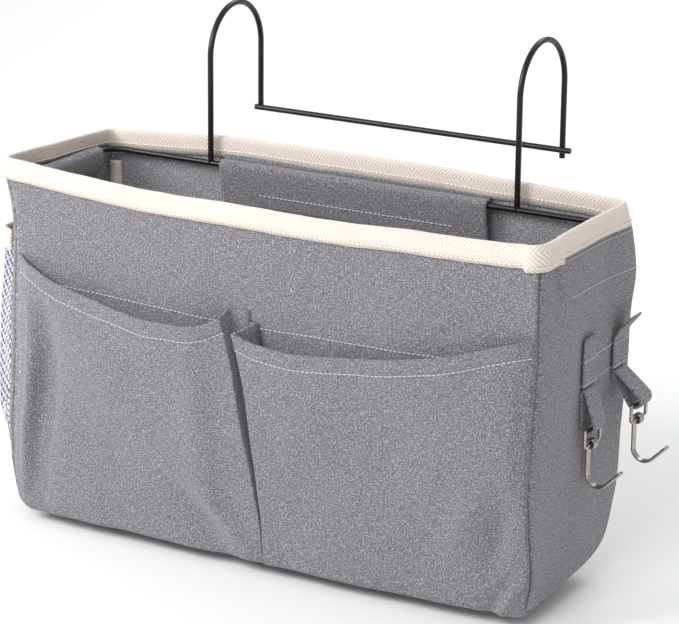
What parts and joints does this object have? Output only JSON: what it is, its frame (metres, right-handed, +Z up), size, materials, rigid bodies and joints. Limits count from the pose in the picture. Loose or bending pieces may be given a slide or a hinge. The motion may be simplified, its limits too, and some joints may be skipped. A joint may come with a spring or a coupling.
{
  "type": "hanging bedside storage bag",
  "caption": "Open fabric box bag on a black wire frame that hooks over a bed rail, with pleated front pockets, a mesh side pocket and small metal hooks.",
  "frame": {"origin": "middle of the bag's base, on the underside of the bottom panel", "axes": "+X along the bag to the side with the hangers, +Y to the back where the bed hooks are, +Z up"},
  "size_m": [0.392, 0.1711, 0.2947],
  "materials": {
    "canvas": "woven cotton-linen canvas, grey melange",
    "tape": "cream herringbone tape",
    "mesh": "open knitted mesh",
    "hook_and_loop": "hook-and-loop strip",
    "wire": "black powder coat on steel wire",
    "nickel": "nickel-plated steel wire"
  },
  "bodies": {
    "bag": {"front_panel": "canvas", "bottom_panel": "canvas", "back_panel": "canvas", "left_side_panel": "canvas", "right_side_panel": "canvas", "rim_binding": "tape", "left_seam_binding": "tape", "right_seam_binding": "tape", "base_seam_binding": "tape", "frame_rail": "wire", "cross_bar": "wire", "bed_hook_left": "wire", "bed_hook_right": "wire", "left_arm_tunnel": "canvas", "right_arm_tunnel": "canvas", "panel_loop_strip": "hook_and_loop", "front_pocket_left": "canvas", "front_pocket_right": "canvas", "mesh_pocket": "mesh", "mesh_pocket_binding": "tape", "front_hanger_strap": "canvas", "rear_hanger_strap": "canvas"},
    "rail_flap": {"rail_flap": "canvas", "flap_hook_strip": "hook_and_loop"},
    "front_hanger_loop": {"front_hanger_loop": "canvas"},
    "front_hanger_ring": {"front_hanger_ring": "nickel"},
    "front_hanger_hook": {"front_hanger_hook": "nickel"},
    "rear_hanger_loop": {"rear_hanger_loop": "canvas"},
    "rear_hanger_ring": {"rear_hanger_ring": "nickel"},
    "rear_hanger_hook": {"rear_hanger_hook": "nickel"}
  },
  "joints": [
    {"name": "rail_flap_swing", "type": "hinge", "parent": "bag", "child": "rail_flap", "pos_m": [0, 0.052, 0.20215], "axis": [-1, 0, 0], "range_deg": [0, 90]},
    {"name": "front_hanger_loop_swing", "type": "hinge", "parent": "bag", "child": "front_hanger_loop", "pos_m": [0.177, 0.005, 0.117], "axis": [0, -1, 0], "range_deg": [0, 55]},
    {"name": "front_hanger_ring_swing", "type": "hinge", "parent": "front_hanger_loop", "child": "front_hanger_ring", "pos_m": [0.1804, 0.005, 0.09495], "axis": [0, -1, 0], "range_deg": [0, 60]},
    {"name": "front_hanger_hook_swing", "type": "hinge", "parent": "front_hanger_ring", "child": "front_hanger_hook", "pos_m": [0.1804, 0.005, 0.08495], "axis": [0, -1, 0], "range_deg": [0, 50]},
    {"name": "rear_hanger_loop_swing", "type": "hinge", "parent": "bag", "child": "rear_hanger_loop", "pos_m": [0.177, 0.045, 0.117], "axis": [0, -1, 0], "range_deg": [0, 25]},
    {"name": "rear_hanger_ring_swing", "type": "hinge", "parent": "rear_hanger_loop", "child": "rear_hanger_ring", "pos_m": [0.19048, 0.045, 0.09979], "axis": [0, -1, 0], "range_deg": [-8, 60]},
    {"name": "rear_hanger_hook_swing", "type": "hinge", "parent": "rear_hanger_ring", "child": "rear_hanger_hook", "pos_m": [0.19048, 0.045, 0.08979], "axis": [0, -1, 0], "range_deg": [-8, 50]}
  ]
}
